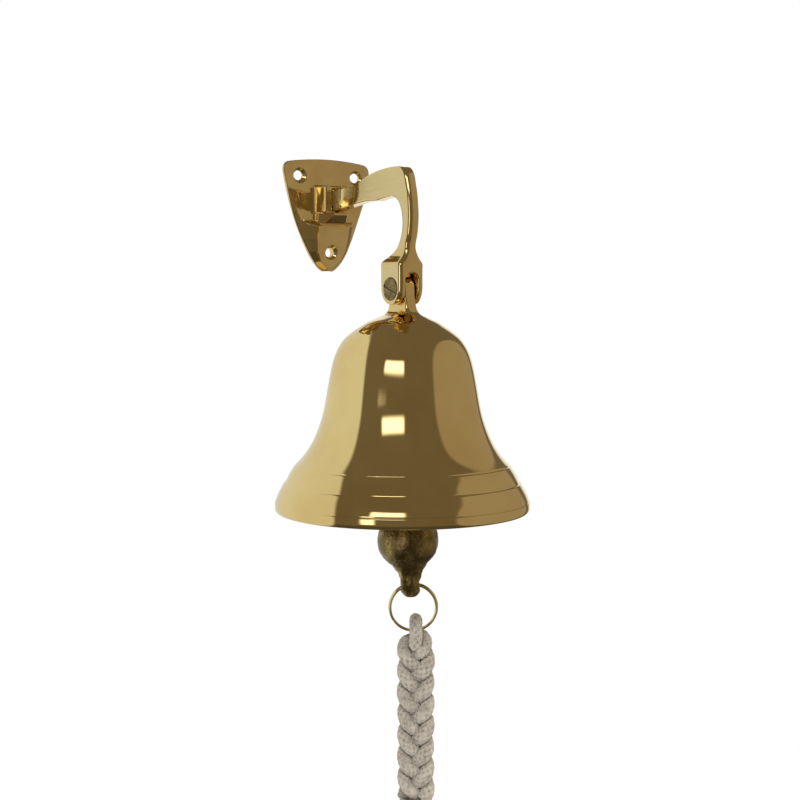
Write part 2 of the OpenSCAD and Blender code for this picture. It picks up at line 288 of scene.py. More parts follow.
def skin(rings, start=None, end=None):
    """Points and faces of a tube through rings of equal length, closed at points if given."""
    rings = np.array(rings)
    rows, sides = rings.shape[:2]
    points = rings.reshape(-1, 3)
    i, k = np.meshgrid(np.arange(rows - 1), np.arange(sides), indexing="ij")
    a, b = i * sides + k, i * sides + (k + 1) % sides
    faces = np.stack([a, b, b + sides, a + sides], -1).reshape(-1, 4).tolist()
    for tip, row, flip in ((start, 0, True), (end, rows - 1, False)):
        if tip is None:
            continue
        points = np.vstack([points, [tip]])
        for side in range(sides):
            edge = [row * sides + side, row * sides + (side + 1) % sides]
            faces.append((edge[::-1] if flip else edge) + [len(points) - 1])
    return points, faces


def add_piece(name, points, faces, body, stands_for, slot, *materials):
    """A smooth mesh object that rides on a body and stands for CAD nodes."""
    mesh = bpy.data.meshes.new(name)
    mesh.from_pydata((np.asarray(points) / 1000).tolist(), [],
                     faces.tolist() if isinstance(faces, np.ndarray) else faces)
    mesh.update()
    mesh.shade_smooth()
    for material in materials:
        mesh.materials.append(material)
    piece = bpy.data.objects.new(name, mesh)
    bpy.context.scene.collection.objects.link(piece)
    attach(piece, body)
    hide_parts(*stands_for)
    return piece


def paint(piece, name, values):
    """Stores one number for each vertex, for the materials to read."""
    layer = piece.data.attributes.new(name, "FLOAT", "POINT")
    layer.data.foreach_set("value", np.asarray(values, np.float32))


def merge(parts):
    """Joins (points, faces) pairs into one."""
    points, faces, start = [], [], 0
    for p, f in parts:
        points.append(np.asarray(p))
        faces += [[i + start for i in face] for face in f]
        start += len(p)
    return np.vstack(points), faces


# ---------------------------------------------------------------- rope


def braid_height(turn, run, pairs, pitch):
    """Height from 0 to 1 of a round braid's two crossing families of yarns."""
    u = pairs * turn + run / pitch
    v = pairs * turn - run / pitch
    over = 0.5 + 0.5 * np.sin(np.pi * u) * np.sin(np.pi * v)
    first = np.abs(np.sin(np.pi * u)) ** 0.6
    second = np.abs(np.sin(np.pi * v)) ** 0.6
    return np.maximum(first * (0.45 + 0.55 * over), second * (1 - 0.55 * over))


def carried_frames(path, first_side):
    """Unit tangents and side directions along a path, turned as little as possible."""
    tangents = np.gradient(path, axis=0)
    tangents /= np.linalg.norm(tangents, axis=1)[:, None]
    side = np.array(first_side, float)
    sides = []
    for t in tangents:
        side = side - np.dot(side, t) * t
        side /= np.linalg.norm(side)
        sides.append(side)
    return tangents, np.array(sides)


def rope(path, width, first_side, flat=1.0, sides=64, step=0.42, pairs=6, pitch=3.1):
    """Braided cord along a path: width across the side direction, width * flat through it."""
    path = resample(np.array(path, float), step)
    tangents, across = carried_frames(path, first_side)
    through = np.cross(tangents, across)
    turn = np.linspace(0, 1, sides, endpoint=False)
    run = np.arange(len(path)) * step
    height = braid_height(turn[None, :], run[:, None], pairs, pitch)
    radius = width / 2 * (0.89 + 0.13 * height)
    cos, sin = np.cos(2 * np.pi * turn), np.sin(2 * np.pi * turn)
    rings = (path[:, None, :]
             + across[:, None, :] * (radius * cos)[..., None]
             + through[:, None, :] * (radius * sin * flat)[..., None])
    points, faces = skin(rings, path[0], path[-1])
    return points, faces, np.append(height.ravel(), [0.5, 0.5])


def plait_point(z, strand):
    """Where a strand of the three-strand plait runs at a height: (across, depth, z)."""
    phase = 2 * np.pi * ((z - PLAIT_TOP) / PLAIT_PITCH + strand / 3)
    return np.stack([PLAIT_SWING * np.sin(phase), PLAIT_DEPTH * np.sin(2 * phase), z], -1)


def hang_point(p, shift=0.0):
    """A point (across, depth, z) of the hanging gear in the row frame."""
    p = np.asarray(p, float)
    base = np.array([HANG[0], HANG[1], 0])
    return (base + (p[..., :1] + shift) * ACROSS + p[..., 1:2] * DEPTH
            + p[..., 2:] * np.array([0, 0, 1]))


# Rope sizes
STRAND = 8.6
BIGHT_R = 5.9
PLAIT_TOP = -259
PLAIT_LOW = -354
PLAIT_PITCH = -39
PLAIT_SWING = 7.2
PLAIT_DEPTH = 3.8
KNOT_Z = -362
KNOT_R = 9.2
KNOT_STRAND = 6.8
TASSEL_TOP = -366
TASSEL_LOW = -392
TASSEL_YARNS = 84
ROPE_SHIFT = RING_LOW[:2] @ ACROSS[:2] - HANG[:2] @ ACROSS[:2]


def bight_path():
    """The front strand: up over the ring, down behind it and into the plait at both ends."""
    top = RING_LOW[2]
    angles = np.linspace(0, np.pi, 9)
    over = np.stack([0 * angles, -BIGHT_R * np.cos(angles), top + BIGHT_R * np.sin(angles)], -1)
    run = np.arange(PLAIT_TOP - 3.5, PLAIT_LOW, -3.0)
    front = plait_point(run, 0)
    back = plait_point(run, 1)
    return np.vstack([front[::-1], [[-0.4, -5.4, top - 6.0], [0, -5.9, top - 3.0]], over,
                      [[1.4, 5.9, top - 2.5], [5.2, 5.0, top - 6.0]], back])


def tucked_path():
    """The third strand: out of the plait's middle, round the back and down on the left."""
    run = np.arange(PLAIT_TOP - 7.0, PLAIT_LOW, -3.0)
    lead = [[3.0, 1.0, -269], [2.4, 7.4, -264], [-0.8, 9.6, -260], [-5.2, 7.0, -259.4],
            [-7.2, 2.4, -262.4]]
    return np.vstack([lead, plait_point(run, 2)])


def knot_path():
    """A three-part Turk's head round the plait's end."""
    turn = np.linspace(0, 6 * np.pi, 160)
    radius = KNOT_R + 1.7 * np.cos(turn * 4 / 3 * 2)
    return np.stack([radius * np.cos(turn), radius * np.sin(turn),
                     KNOT_Z + 5.0 * np.sin(turn * 4 / 3)], -1)


def tassel_yarn(k, random):
    """One loose yarn under the knot."""
    turn = k * 2.39996
    spread = math.sqrt((k + 0.5) / TASSEL_YARNS)
    start, end = 6.5 * spread, 10.2 * spread
    bend = random.uniform(-0.5, 0.5, 2)
    low = TASSEL_LOW + random.uniform(0, 2.5)
    steps = np.linspace(0, 1, 7)
    wave = 0.6 * np.sin(steps * random.uniform(3, 7) + random.uniform(0, 6))
    radius = start + (end - start) * steps ** 0.7
    swing = turn + 0.25 * steps
    return np.stack([radius * np.cos(swing) + bend[0] * steps + wave,
                     radius * np.sin(swing) + bend[1] * steps,
                     TASSEL_TOP + (low - TASSEL_TOP) * steps], -1)


def yarn(path, width, sides=6):
    """Thin round yarn along a path, closed at its ends."""
    tangents, across = carried_frames(path, (1, 0, 0))
    through = np.cross(tangents, across)
    turn = np.linspace(0, 2 * np.pi, sides, endpoint=False)
    rings = (path[:, None, :] + width / 2 * (across[:, None, :] * np.cos(turn)[:, None]
                                             + through[:, None, :] * np.sin(turn)[:, None]))
    return skin(rings, path[0], path[-1])


def add_rope(material):
    """The plaited rope with its bight, knot and tassel, made as one piece."""
    random = np.random.default_rng(3)
    parts = []
    heights = []
    for path, width, flat in ((bight_path(), STRAND, 0.9), (tucked_path(), STRAND, 0.9),
                              (knot_path(), KNOT_STRAND, 0.85)):
        line = hang_point(spline(path, 6), ROPE_SHIFT)
        points, faces, height = rope(line, width, ACROSS, flat)
        parts.append((points, faces))
        heights.append(height)
    for k in range(TASSEL_YARNS):
        parts.append(yarn(hang_point(tassel_yarn(k, random), ROPE_SHIFT), 1.7))
        # The tassel's yarns get a fixed height of 0.7, which gives them a little of the cotton's
        # painted shade.
        heights.append(np.full(len(parts[-1][0]), 0.7))
    points, faces = merge(parts)
    piece = add_piece("bell_rope", points, faces, "lanyard",
                      ("lanyard_bight", "lanyard_plait", "lanyard_knot", "lanyard_tassel"),
                      "cotton_rope", material)
    # The braid height is stored for the cotton material, which paints shade where it is low.
    paint(piece, "height", np.concatenate(heights))
    return piece


# ---------------------------------------------------------------- split ring


def add_split_ring(material):
    """Two turns of wire side by side, with the step over between them."""
    radius = (RING_TOP[2] - RING_LOW[2]) / 2
    centre = (RING_TOP[2] + RING_LOW[2]) / 2
    gap, crossing = math.radians(14), math.radians(30)
    turn = np.linspace(gap, 4 * np.pi - gap, 360)
    step = np.clip((turn - 2 * np.pi + crossing / 2) / crossing, 0, 1)
    step = step * step * (3 - 2 * step)
    start = math.radians(200)
    r = radius - 0.2 + 0.25 * step
    path = np.stack([r * np.cos(turn + start), -0.72 + 1.44 * step,
                     centre + r * np.sin(turn + start)], -1)
    low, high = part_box("split_ring")
    middle = (np.array(low) + np.array(high)) * 500
    line = hang_point(path, (middle[:2] - HANG[:2]) @ ACROSS[:2])
    points, faces = yarn(line, 1.7, 20)
    return add_piece("split_ring_coil", points, faces, "ring", ("split_ring",), "ring_brass",
                     material)


# ---------------------------------------------------------------- clapper

EYE_Z = -103.2
TAIL_HOLE_Z = -222.4
TAIL_SHIFT = 1.5

# Half section of the shank and ball (radius, z)
BALL = [[0, -106.8, 0], [3.4, -106.8, 0], [4.4, -172, -0.6], [7, -179.7, 5.47],
        [16.8, -203.9, 0.35], [10.9, -210.8, -0.5], [7.5, -214, 0], [0, -216, 0]]

# Half section of the tail (radius, z)
TAIL = [[0, -208, 0], [7.9, -212.5, -0.5], [6.7, -217.5, 0.1], [6.5, -224, 0.3],
        [5.1, -228.5, 1], [0, -230.6, 0]]


def both_sides(half):
    """Whole outline of a half section that starts and ends on the axis."""
    half = np.array(half)
    return np.vstack([half, half[-2:0:-1] * [-1, 1]])


def capsule(x, y, z, a, b, r):
    """Round-ended rod between two points."""
    a, b = np.array(a, float), np.array(b, float)
    along = b - a
    t = np.clip(((x - a[0]) * along[0] + (y - a[1]) * along[1] + (z - a[2]) * along[2])
                / (along @ along), 0, 1)
    return np.sqrt((x - a[0] - t * along[0]) ** 2 + (y - a[1] - t * along[1]) ** 2
                   + (z - a[2] - t * along[2]) ** 2) - r


def clapper_shape(ball, tail):
    """Signed distance of the clapper in the hanging gear's frame."""
    def distance(s, w, z):
        shape = outline_distance(np.hypot(s, w), z, ball)
        tang = outline_distance(np.hypot(s - TAIL_SHIFT, w), z, tail)
        shape = either(shape, tang, 4.5)
        nose = capsule(s, w, z, (2.4, -5.1, -213.5), (2.0, -5.3, -222), 1.5)
        shape = either(shape, nose, 1.2)
        brow = capsule(s, w, z, (-3.2, -5.2, -212), (-2.6, -4.6, -224), 1.6)
        shape = either(shape, brow, 1.6)
        eye_rho = np.hypot(w, z - EYE_Z)
        shape = either(shape, rod(eye_rho, s, -2.5, 2.5, 6.2, 0.9), 1.0)
        shape = minus(shape, eye_rho - 3.4, 0.6)
        return minus(shape, np.hypot(w, z - TAIL_HOLE_Z) - 3.8, 0.7)
    return distance


def cast_roughness(point):
    """Lumps and pits of a sand casting, in millimetres."""
    p = Vector(point)
    lumps = noise.noise(p * 0.16) * 0.3
    grain = noise.fractal(p * 0.55, 0.9, 2.1, 3) * 0.12
    return lumps + grain


def add_clapper(material):
    """Rough cast clapper with its top eye, ball and drilled tail."""
    ball = both_sides(resample(chain(BALL, 12), 0.7))
    tail = both_sides(resample(chain(TAIL, 12), 0.7))
    shape = clapper_shape(ball, tail)
    points, faces = surface_of(shape, (-19.4, -19.4, -232), (19.4, 19.4, -96), 0.6)
    outward = -slope_step(lambda *p: shape(*p) + 0.1, points, 0.3)
    outward /= np.maximum(np.linalg.norm(outward, axis=1), 1e-6)[:, None]
    depth = np.array([cast_roughness(p) for p in points])
    rough = np.clip((-150 - points[:, 2]) / 30, 0.25, 1)
    near_holes = np.minimum(np.hypot(points[:, 1], points[:, 2] - TAIL_HOLE_Z) - 3.8,
                            np.hypot(points[:, 1], points[:, 2] - EYE_Z) - 3.4)
    clear = np.clip(near_holes / 2, 0, 1)
    depth *= rough * clear
    moved = points + (depth + 0.2 * clear)[:, None] * outward
    piece = add_piece("clapper_casting", hang_point(moved), faces, "clapper", ("clapper",),
                      "clapper_brass", material)
    paint(piece, "height", depth)
    return piece


# ---------------------------------------------------------------- bell

# Bell's outside (radius, z) from the foot of the lug to the first turned groove
BODY = [(24.1, -69.5), (27.7, -71.8), (30.9, -74.15), (33.75, -76.7), (36.1, -79.7),
        (38.0, -82.9), (39.5, -86.3), (40.9, -90.6), (42.4, -97), (43.7, -104), (44.9, -111),
        (46.2, -118), (48.0, -125), (50.5, -132), (53.6, -138.7), (57.1, -144.3),
        (60.3, -148.2), (62.9, -150.9)]

# The three turned bands below it, each from under one groove to the next or to the lip
BANDS = [[(63.6, -151.5), (66.2, -155.6), (68.9, -160.9)],
         [(69.9, -161.7), (72.1, -165.6), (73.6, -168.6), (74.75, -171.9)],
         [(75.2, -172.6), (75.3, -175.2), (75.1, -177.2), (74.3, -178.4), (73.0, -178.8),
          (70.8, -178.8), (69.2, -178.2), (68.3, -177.2)]]

# Inside, from the lip up to the middle of the crown
INSIDE = [(68.3, -177.2), (66.2, -172.4), (63.6, -166), (60.6, -158.4), (55.6, -148),
          (50.0, -137), (45.2, -125.6), (42.2, -113), (40.2, -101), (38.1, -91), (33.4, -82),
          (26.0, -75.8), (16.0, -72.1), (7.0, -70.7)]
CEILING = -70.4
GROOVE_DEPTH = 0.4

# Half the thickness of the lug's eye
LUG_HALF = 4.15
# Lug sections from its eye down to the crown: z, half thickness, half width, corner squareness
LUG = [(-48, LUG_HALF, 7.3, 7), (-52, LUG_HALF, 7.6, 7), (-56, 4.18, 8.4, 6.5),
       (-59, 4.4, 9.3, 5.6), (-61.3, 5.3, 10.5, 4.4), (-62.8, 7.3, 12.0, 3.3), (-64.1, 10.8, 14.3, 2.6),
       (-65.4, 15, 17, 2.2), (-67.1, 19.9, 20.4, 2.02), (-69.5, 24.1, 24.1, 2)]
EYE_R = 7.3
EYE_ROUND = 1.5
SIDES = 256


def ring_of(z, half_x, half_y, power, sides=SIDES):
    """Closed row of points on a rounded rectangle, a circle at power 2."""
    turn = np.linspace(0, 2 * np.pi, 16 * sides + 1)
    cos, sin = np.cos(turn), np.sin(turn)
    size = (np.abs(cos / half_x) ** power + np.abs(sin / half_y) ** power) ** (-1 / power)
    x, y = size * cos, size * sin
    run = np.concatenate([[0], np.cumsum(np.hypot(np.diff(x), np.diff(y)))])
    even = np.linspace(0, run[-1], sides, endpoint=False)
    return np.stack([np.interp(even, run, x), np.interp(even, run, y) - REACH,
                     np.full(sides, z)], -1)


def lug_rings():
    """Rows of the lug, from the top of its eye to the crown."""
    rows = []
    for lean in np.linspace(math.radians(86), math.radians(4), 22):
        z = PIVOT_Z + EYE_R * math.sin(lean)
        near_top = min((PIVOT_Z + EYE_R - z) / EYE_ROUND, 1)
        half_x = LUG_HALF - EYE_ROUND * (1 - math.sqrt(1 - (1 - near_top) ** 2))
        rows.append(ring_of(z, half_x, EYE_R * math.cos(lean), 7))
    for z, half_x, half_y, power in spline(LUG, 6)[:-1]:
        rows.append(ring_of(z, half_x, half_y, power))
    return rows


def bell_profile():
    """Outside and inside of the bell as one line (radius, z), with its turned grooves."""
    line = list(resample(spline(BODY), 0.8))
    for band in BANDS:
        above = np.array(line[-1])
        below = np.array(band[0])
        deep = (above + below) / 2 - [GROOVE_DEPTH, 0]
        line += [above + 0.25 * (deep - above), deep, below + 0.25 * (deep - below)]
        line += list(resample(spline(band), 0.6))
    line += list(resample(spline(INSIDE), 1.2))[1:]
    return np.array(line)


def cut_hole(piece, centre, radius, length):
    """Drills a cylinder along X through a piece."""
    bpy.ops.mesh.primitive_cylinder_add(vertices=96, radius=radius / 1000,
                                        depth=length / 1000,
                                        location=[c / 1000 for c in centre],
                                        rotation=(0, math.pi / 2, 0))
    drill = bpy.context.object
    cut = piece.modifiers.new("bore", "BOOLEAN")
    cut.operation = "DIFFERENCE"
    cut.solver = "EXACT"
    cut.object = drill
    bpy.context.view_layer.update()
    cut_mesh = bpy.data.meshes.new_from_object(
        piece.evaluated_get(bpy.context.evaluated_depsgraph_get()))
    piece.modifiers.remove(cut)
    piece.data = cut_mesh
    bpy.data.objects.remove(drill)


def add_bell(material):
    """The bell and its lug as one turned casting."""
    profile = bell_profile()
    rows = lug_rings() + [ring_of(z, r, r, 2) for r, z in profile]
    points, faces = skin(rows, (0, -REACH, PIVOT_Z + EYE_R), (0, -REACH, CEILING))
    piece = add_piece("bell_shell", points, faces, "bell", ("bell_body",), "bell_brass",
                      material)
    cut_hole(piece, PIVOT, 3.1, 30)
    piece.data.shade_smooth()
    return piece


# ---------------------------------------------------------------- arm

# Side outline of the arm and its fork (distance from the wall, z)
ARM = [[12.85, 13.2, 0], [24.8, 13.4, -0.7], [43.5, 17.4, 0.5], [59.5, 21.9, 0.5],
       [79, 23.2, 2.7], [88.7, 14.5, 0.5], [91.5, -0.8, 0.5], [91, -14, 0.4], [89, -21, -0.2],
       [89, -28, 0], [89, PIVOT_Z, 9.5], [70, PIVOT_Z, 0], [70, -31, -1.36],
       [81.3, -20.5, -0.8], [83.7, -9, -0.48], [82.1, 0, -1.36], [74, 6.1, -0.4],
       [57.1, 4.2, -0.6], [37, 3.4, -0.1], [12.85, -0.6, 0]]

# Half of its front outline (x, z)
ARM_FRONT = [[0, 40, 0], [4, 40, 0], [4, -24, -0.8], [8.2, -32, 0.5], [9, -36, 0], [9, -70, 0],
             [0, -70, 0]]
SLOT_HALF = 4.6
SLOT_TOP = -43
HEAD_R = 6.5
HEAD_BACK = -6.8
TANG_HALF = 6.05
ARM_HALF = 4
ROOT_TOP = 13.2


def smooth_step(x, low, high):
    t = np.clip((x - low) / (high - low), 0, 1)
    return t * t * (3 - 2 * t)


def arm_shape(side, front):
    """Signed distance of the bracket arm: x, distance from the wall and z."""
    def distance(x, u, z):
        edge = 1.0 + 2.0 * smooth_step(u, 82, 88)
        shape = both(outline_distance(u, z, side), outline_distance(x, z, front), edge)
        ball = np.sqrt((np.abs(x) - 35.9) ** 2 + (u - 28.8) ** 2 + (z - 12) ** 2) - 34
        shape = minus(shape, np.maximum(ball, 20.5 - u), 0.35)
        arch = np.where(z > SLOT_TOP, np.hypot(x, z - SLOT_TOP), np.abs(x)) - SLOT_HALF
        shape = minus(shape, np.maximum(arch, 64 - u), 0.9)
        pivot = np.hypot(u - REACH, z - PIVOT_Z)
        shape = minus(shape, pivot - 3.02, 0.1)
        shape = minus(shape, np.maximum(pivot - HEAD_R - 0.15, x - HEAD_BACK), 0.3)
        head = block(x, u, z, (-TANG_HALF, 5.45, 0), (TANG_HALF, 9.55, ROOT_TOP), 0.6)
        narrow = np.where(z < ARM_HALF, np.hypot(x, z - ARM_HALF), np.abs(x)) - ARM_HALF
        neck = both(narrow, np.maximum(np.maximum(9 - u, u - 14), z - ROOT_TOP), 0.5)
        return np.minimum(shape, either(head, neck, 0.3))
    return distance


def add_casting(name, shape, low, high, step, body, node, slot, material):
    """A piece cut from a signed distance that is given in x, distance from the wall and z."""
    points, faces = surface_of(shape, low, high, step)
    piece = add_piece(name, points * [1, -1, 1], faces[:, ::-1], body, (node,), slot, material)
    nudge = 0.3
    slope = np.stack([shape(*(points + nudge * np.eye(3)[k]).T)
                      - shape(*(points - nudge * np.eye(3)[k]).T) for k in range(3)], 1)
    slope *= [1, -1, 1]
    slope /= np.maximum(np.linalg.norm(slope, axis=1), 1e-6)[:, None]
    piece.data.normals_split_custom_set_from_vertices(slope.tolist())
    return piece, slope


def add_arm(material):
    """Cast arm with its fork and its tang, smooth at its edges and filed flat on its sides."""
    side = soft_loop(ARM, 0.6, 1.3)
    front = both_sides(resample(chain(ARM_FRONT), 0.8))
    piece, normals = add_casting("arm_casting", arm_shape(side, front), (-9.6, 4.8, -58.5),
                                 (9.6, 93, 24.5), 0.5, "arm", "bracket_arm", "arm_brass",
                                 material)
    paint(piece, "filed", smooth_step(np.abs(normals[:, 0]), 0.97, 0.998))
    return piece


# ---------------------------------------------------------------- wall plate

# Plate outline (x, z)
PLATE = [[-28.4, 30.5, 2], [28.4, 30.5, 1.5], [32.3, 24.7, 2.1], [15.2, -24, 0.4],
         [8, -34, 3.6], [-8, -34, 0.4], [-15.2, -24, 2.1], [-32.3, 24.7, 1.5]]

# Raised rib below the socket, whose face leans back towards the plate's tip
RIB_DEPTH = 8.8
RIB_TOP = -8.7
RIB_LEAN = 0.186
FLANK = 0.8
PLATE_T = 3.4
DOME_R = 450
SOCKET_HALF = 10.6
SOCKET_TAPER = 0.2
SOCKET_FRONT = 12.6
SOCKET_TOP = 15.7
LEDGE_TOP = -1
HOLE_R = 2.95
SINK_R = 4.7
UPPER_HOLE = (21.2, 22)
LOWER_HOLE_Z = -25.2


def screw_hole(rho, u, front):
    """Hole with a countersink that opens at the plate's front."""
    return (rho - HOLE_R - np.clip(u - front + SINK_R - HOLE_R, 0, 2.1)) * 0.8


def rib_shape(x, u, z):
    """Raised rib with sloping flanks, which widen upwards into the plate below the socket."""
    half = np.interp(-z, [8.7, 17, 25, 31, 35.8], [11.6, 11.4, 10, 7.2, 1.5])
    face = RIB_DEPTH - RIB_LEAN * (RIB_TOP - z)
    flank = (u - face + FLANK * (np.abs(x) - half)) * 0.72
    top = (u - RIB_DEPTH + 2.5 * (z - RIB_TOP)) * 0.37
    return both(both(u - face, flank, 0.5), top, 1.0)


def ledge_shape(x, u, z):
    """Ledge that narrows and rises from the socket's width to its front edge."""
    run = np.clip((u - 6) / 10.5, 0, 1)
    half = 10.2 - 5.2 * run
    foot = -9.5 + 6.9 * run
    under = (foot - z) * 0.82
    return np.maximum(both((np.abs(x) - half) * 0.83, under, 0.5),
                      np.maximum(z - LEDGE_TOP, u - 16.5))


def plate_shape(outline):
    """Signed distance of the wall plate: x, distance from the wall and z."""
    def distance(x, u, z):
        edge = outline_distance(x, z, outline)
        dome = np.sqrt(x * x + (u + DOME_R - PLATE_T) ** 2 + z * z) - DOME_R
        bevel = 0.82 * (u - 2.9) + 0.52 * (np.abs(x) - 25.5) - 0.23 * (z - 4.6)
        shape = either(both(dome, bevel, 0.5), rib_shape(x, u, z), 1.2)
        shape = both(edge, shape, 0.6)
        narrow = np.abs(x) + SOCKET_TAPER * (u - 3)
        socket = block(narrow, u, z, (-SOCKET_HALF, -4, LEDGE_TOP),
                       (SOCKET_HALF, SOCKET_FRONT, SOCKET_TOP), 1.2)
        shape = either(shape, socket, 1.3)
        shape = either(shape, ledge_shape(x, u, z), 0.7)
        pocket = np.maximum(np.maximum(np.abs(x) - 6.3, np.abs(u - 7.5) - 2.3), -z)
        slot = np.where(z < ARM_HALF, np.hypot(x, z - ARM_HALF), np.abs(x)) - ARM_HALF - 0.25
        slot = np.maximum(slot, 8 - u)
        shape = minus(shape, np.minimum(pocket, slot), 0.35)
        for side in (-1, 1):
            rho = np.hypot(x - side * UPPER_HOLE[0], z - UPPER_HOLE[1])
            shape = minus(shape, screw_hole(rho, u, 2.3), 0.25)
        front = RIB_DEPTH - RIB_LEAN * (RIB_TOP - z)
        shape = minus(shape, screw_hole(np.hypot(x, z - LOWER_HOLE_Z), u, front), 0.25)
        return both(shape, -u, 0.2)
    return distance


def add_plate(material):
    """Thin domed plate with the socket for the arm, a ledge and a rib down to its tip."""
    outline = soft_loop(PLATE, 0.7, 1.2)
    piece, _ = add_casting("plate_casting", plate_shape(outline), (-33, -1, -37), (33, 17.5, 33),
                           0.5, "mount", "wall_plate", "plate_brass", material)
    return piece


# ---------------------------------------------------------------- pivot screw

SLOT_TURN = math.radians(18)


def screw_shape(x, u, z):
    """Signed distance of the slotted pivot screw."""
    du, dz = u - REACH, z - PIVOT_Z
    rho = np.hypot(du, dz)
    crown = x + 9.4 - 0.35 * (rho / HEAD_R) ** 2
    head = both(rho - HEAD_R, np.maximum(-crown, x - HEAD_BACK), 0.35)
    shank = rod(rho, x, -8, 8.95, 3, 0.4)
    shape = np.minimum(head, shank)
    slot = np.abs(dz * math.cos(SLOT_TURN) + du * math.sin(SLOT_TURN)) - 0.75
    return minus(shape, np.maximum(slot, x + 8.4), 0.12)


def add_screw(material):
    """Slotted screw that the bell hangs from."""
    piece, _ = add_casting("pivot_screw_turned", screw_shape, (-10, REACH - 7.2, PIVOT_Z - 7.2),
                           (9.6, REACH + 7.2, PIVOT_Z + 7.2), 0.28, "arm", "pivot_screw",
                           "screw_bronze", material)
    return piece


# ---------------------------------------------------------------- materials


class Graph:
    """Adds and links the nodes of one shader."""

    def __init__(self, tree):
        self.tree = tree
        tree.nodes.clear()

    def node(self, kind, inputs=None, **settings):
        made = self.tree.nodes.new(kind)
        for name, value in settings.items():
            setattr(made, name, value)
        for name, value in (inputs or {}).items():
            self.plug(made.inputs[name], value)
        return made

    def plug(self, socket, value):
        if isinstance(value, bpy.types.NodeSocket):
            self.tree.links.new(value, socket)
        else:
            socket.default_value = value

    def math(self, operation, a, b=0.0, c=0.0):
        return self.node("ShaderNodeMath", {0: a, 1: b, 2: c}, operation=operation).outputs[0]

    def dot(self, a, b):
        made = self.node("ShaderNodeVectorMath", {0: a, 1: b}, operation="DOT_PRODUCT")
        return made.outputs["Value"]

    def noise(self, vector, scale, detail=3.0, roughness=0.55):
        made = self.node("ShaderNodeTexNoise", {"Vector": vector, "Scale": scale,
                                                "Detail": detail, "Roughness": roughness})
        return made.outputs["Fac"]

    def ramp(self, value, low, high, out_low=0.0, out_high=1.0):
        made = self.node("ShaderNodeMapRange", {"Value": value, "From Min": low,
                                                "From Max": high, "To Min": out_low,
                                                "To Max": out_high},
                         interpolation_type="SMOOTHSTEP")
        return made.outputs["Result"]

    def mix(self, share, a, b):
        made = self.node("ShaderNodeMix", data_type="RGBA")
        self.plug(made.inputs[0], share)
        self.plug(made.inputs[6], a if isinstance(a, bpy.types.NodeSocket) else (*a, 1))
        self.plug(made.inputs[7], b if isinstance(b, bpy.types.NodeSocket) else (*b, 1))
        return made.outputs[2]

    def stretched(self, vector, scale):
        made = self.node("ShaderNodeVectorMath", {0: vector, 1: scale}, operation="MULTIPLY")
        return made.outputs[0]

    def bump(self, height, distance, strength=1.0, below=None):
        made = self.node("ShaderNodeBump", {"Height": height, "Distance": distance,
                                            "Strength": strength})
        if below is not None:
            self.plug(made.inputs["Normal"], below)
        return made.outputs["Normal"]


def new_material(name):
    """A material's graph with its shader, its output and the object's own coordinates."""
    material = bpy.data.materials.new(name)
    material.use_nodes = True
    graph = Graph(material.node_tree)
    shader = graph.node("ShaderNodeBsdfPrincipled")
    graph.node("ShaderNodeOutputMaterial", {"Surface": shader.outputs[0]})
    place = graph.node("ShaderNodeTexCoord").outputs["Object"]
    return material, graph, shader, place


def polished_brass(name, gold, brown, smooth=0.05, dull=0.13, wave=0.00003):
    """Hand-polished brass: slow colour change, smudges, and a slightly uneven surface."""
    material, graph, shader, place = new_material(name)
    tone = graph.ramp(graph.noise(place, 38, 4), 0.35, 0.7)
    fine = graph.ramp(graph.noise(place, 210, 5), 0.35, 0.75, 0, 0.35)
    colour = graph.mix(fine, graph.mix(tone, gold, brown), brown)
    graph.plug(shader.inputs["Base Color"], colour)
    shader.inputs["Metallic"].default_value = 1
    smudge = graph.ramp(graph.noise(place, 55, 6, 0.6), 0.4, 0.72, smooth, dull)
    graph.plug(shader.inputs["Roughness"], smudge)
    uneven = graph.bump(graph.noise(place, 70, 1.5), wave)
    scratches = graph.noise(graph.stretched(place, (900, 900, 260)), 1, 2)
    graph.plug(shader.inputs["Normal"], graph.bump(scratches, 0.000002, 1, uneven))
    return material


def turned_brass():
    """The bell's brass: polished on the lathe, so its finest marks run round it."""
    material, graph, shader, place = new_material("bell_brass")
    tone = graph.ramp(graph.noise(place, 24, 4), 0.35, 0.7)
    graph.plug(shader.inputs["Base Color"], graph.mix(tone, BELL_GOLD, BELL_BROWN))
    shader.inputs["Metallic"].default_value = 1
    smudge = graph.ramp(graph.noise(place, 40, 6, 0.62), 0.4, 0.72, 0.04, 0.09)
    graph.plug(shader.inputs["Roughness"], smudge)
    rounds = graph.noise(graph.stretched(place, (6, 6, 1500)), 1, 3)
    uneven = graph.bump(graph.noise(place, 45, 1), 0.00003)
    graph.plug(shader.inputs["Normal"], graph.bump(rounds, 0.0000015, 1, uneven))
    return material


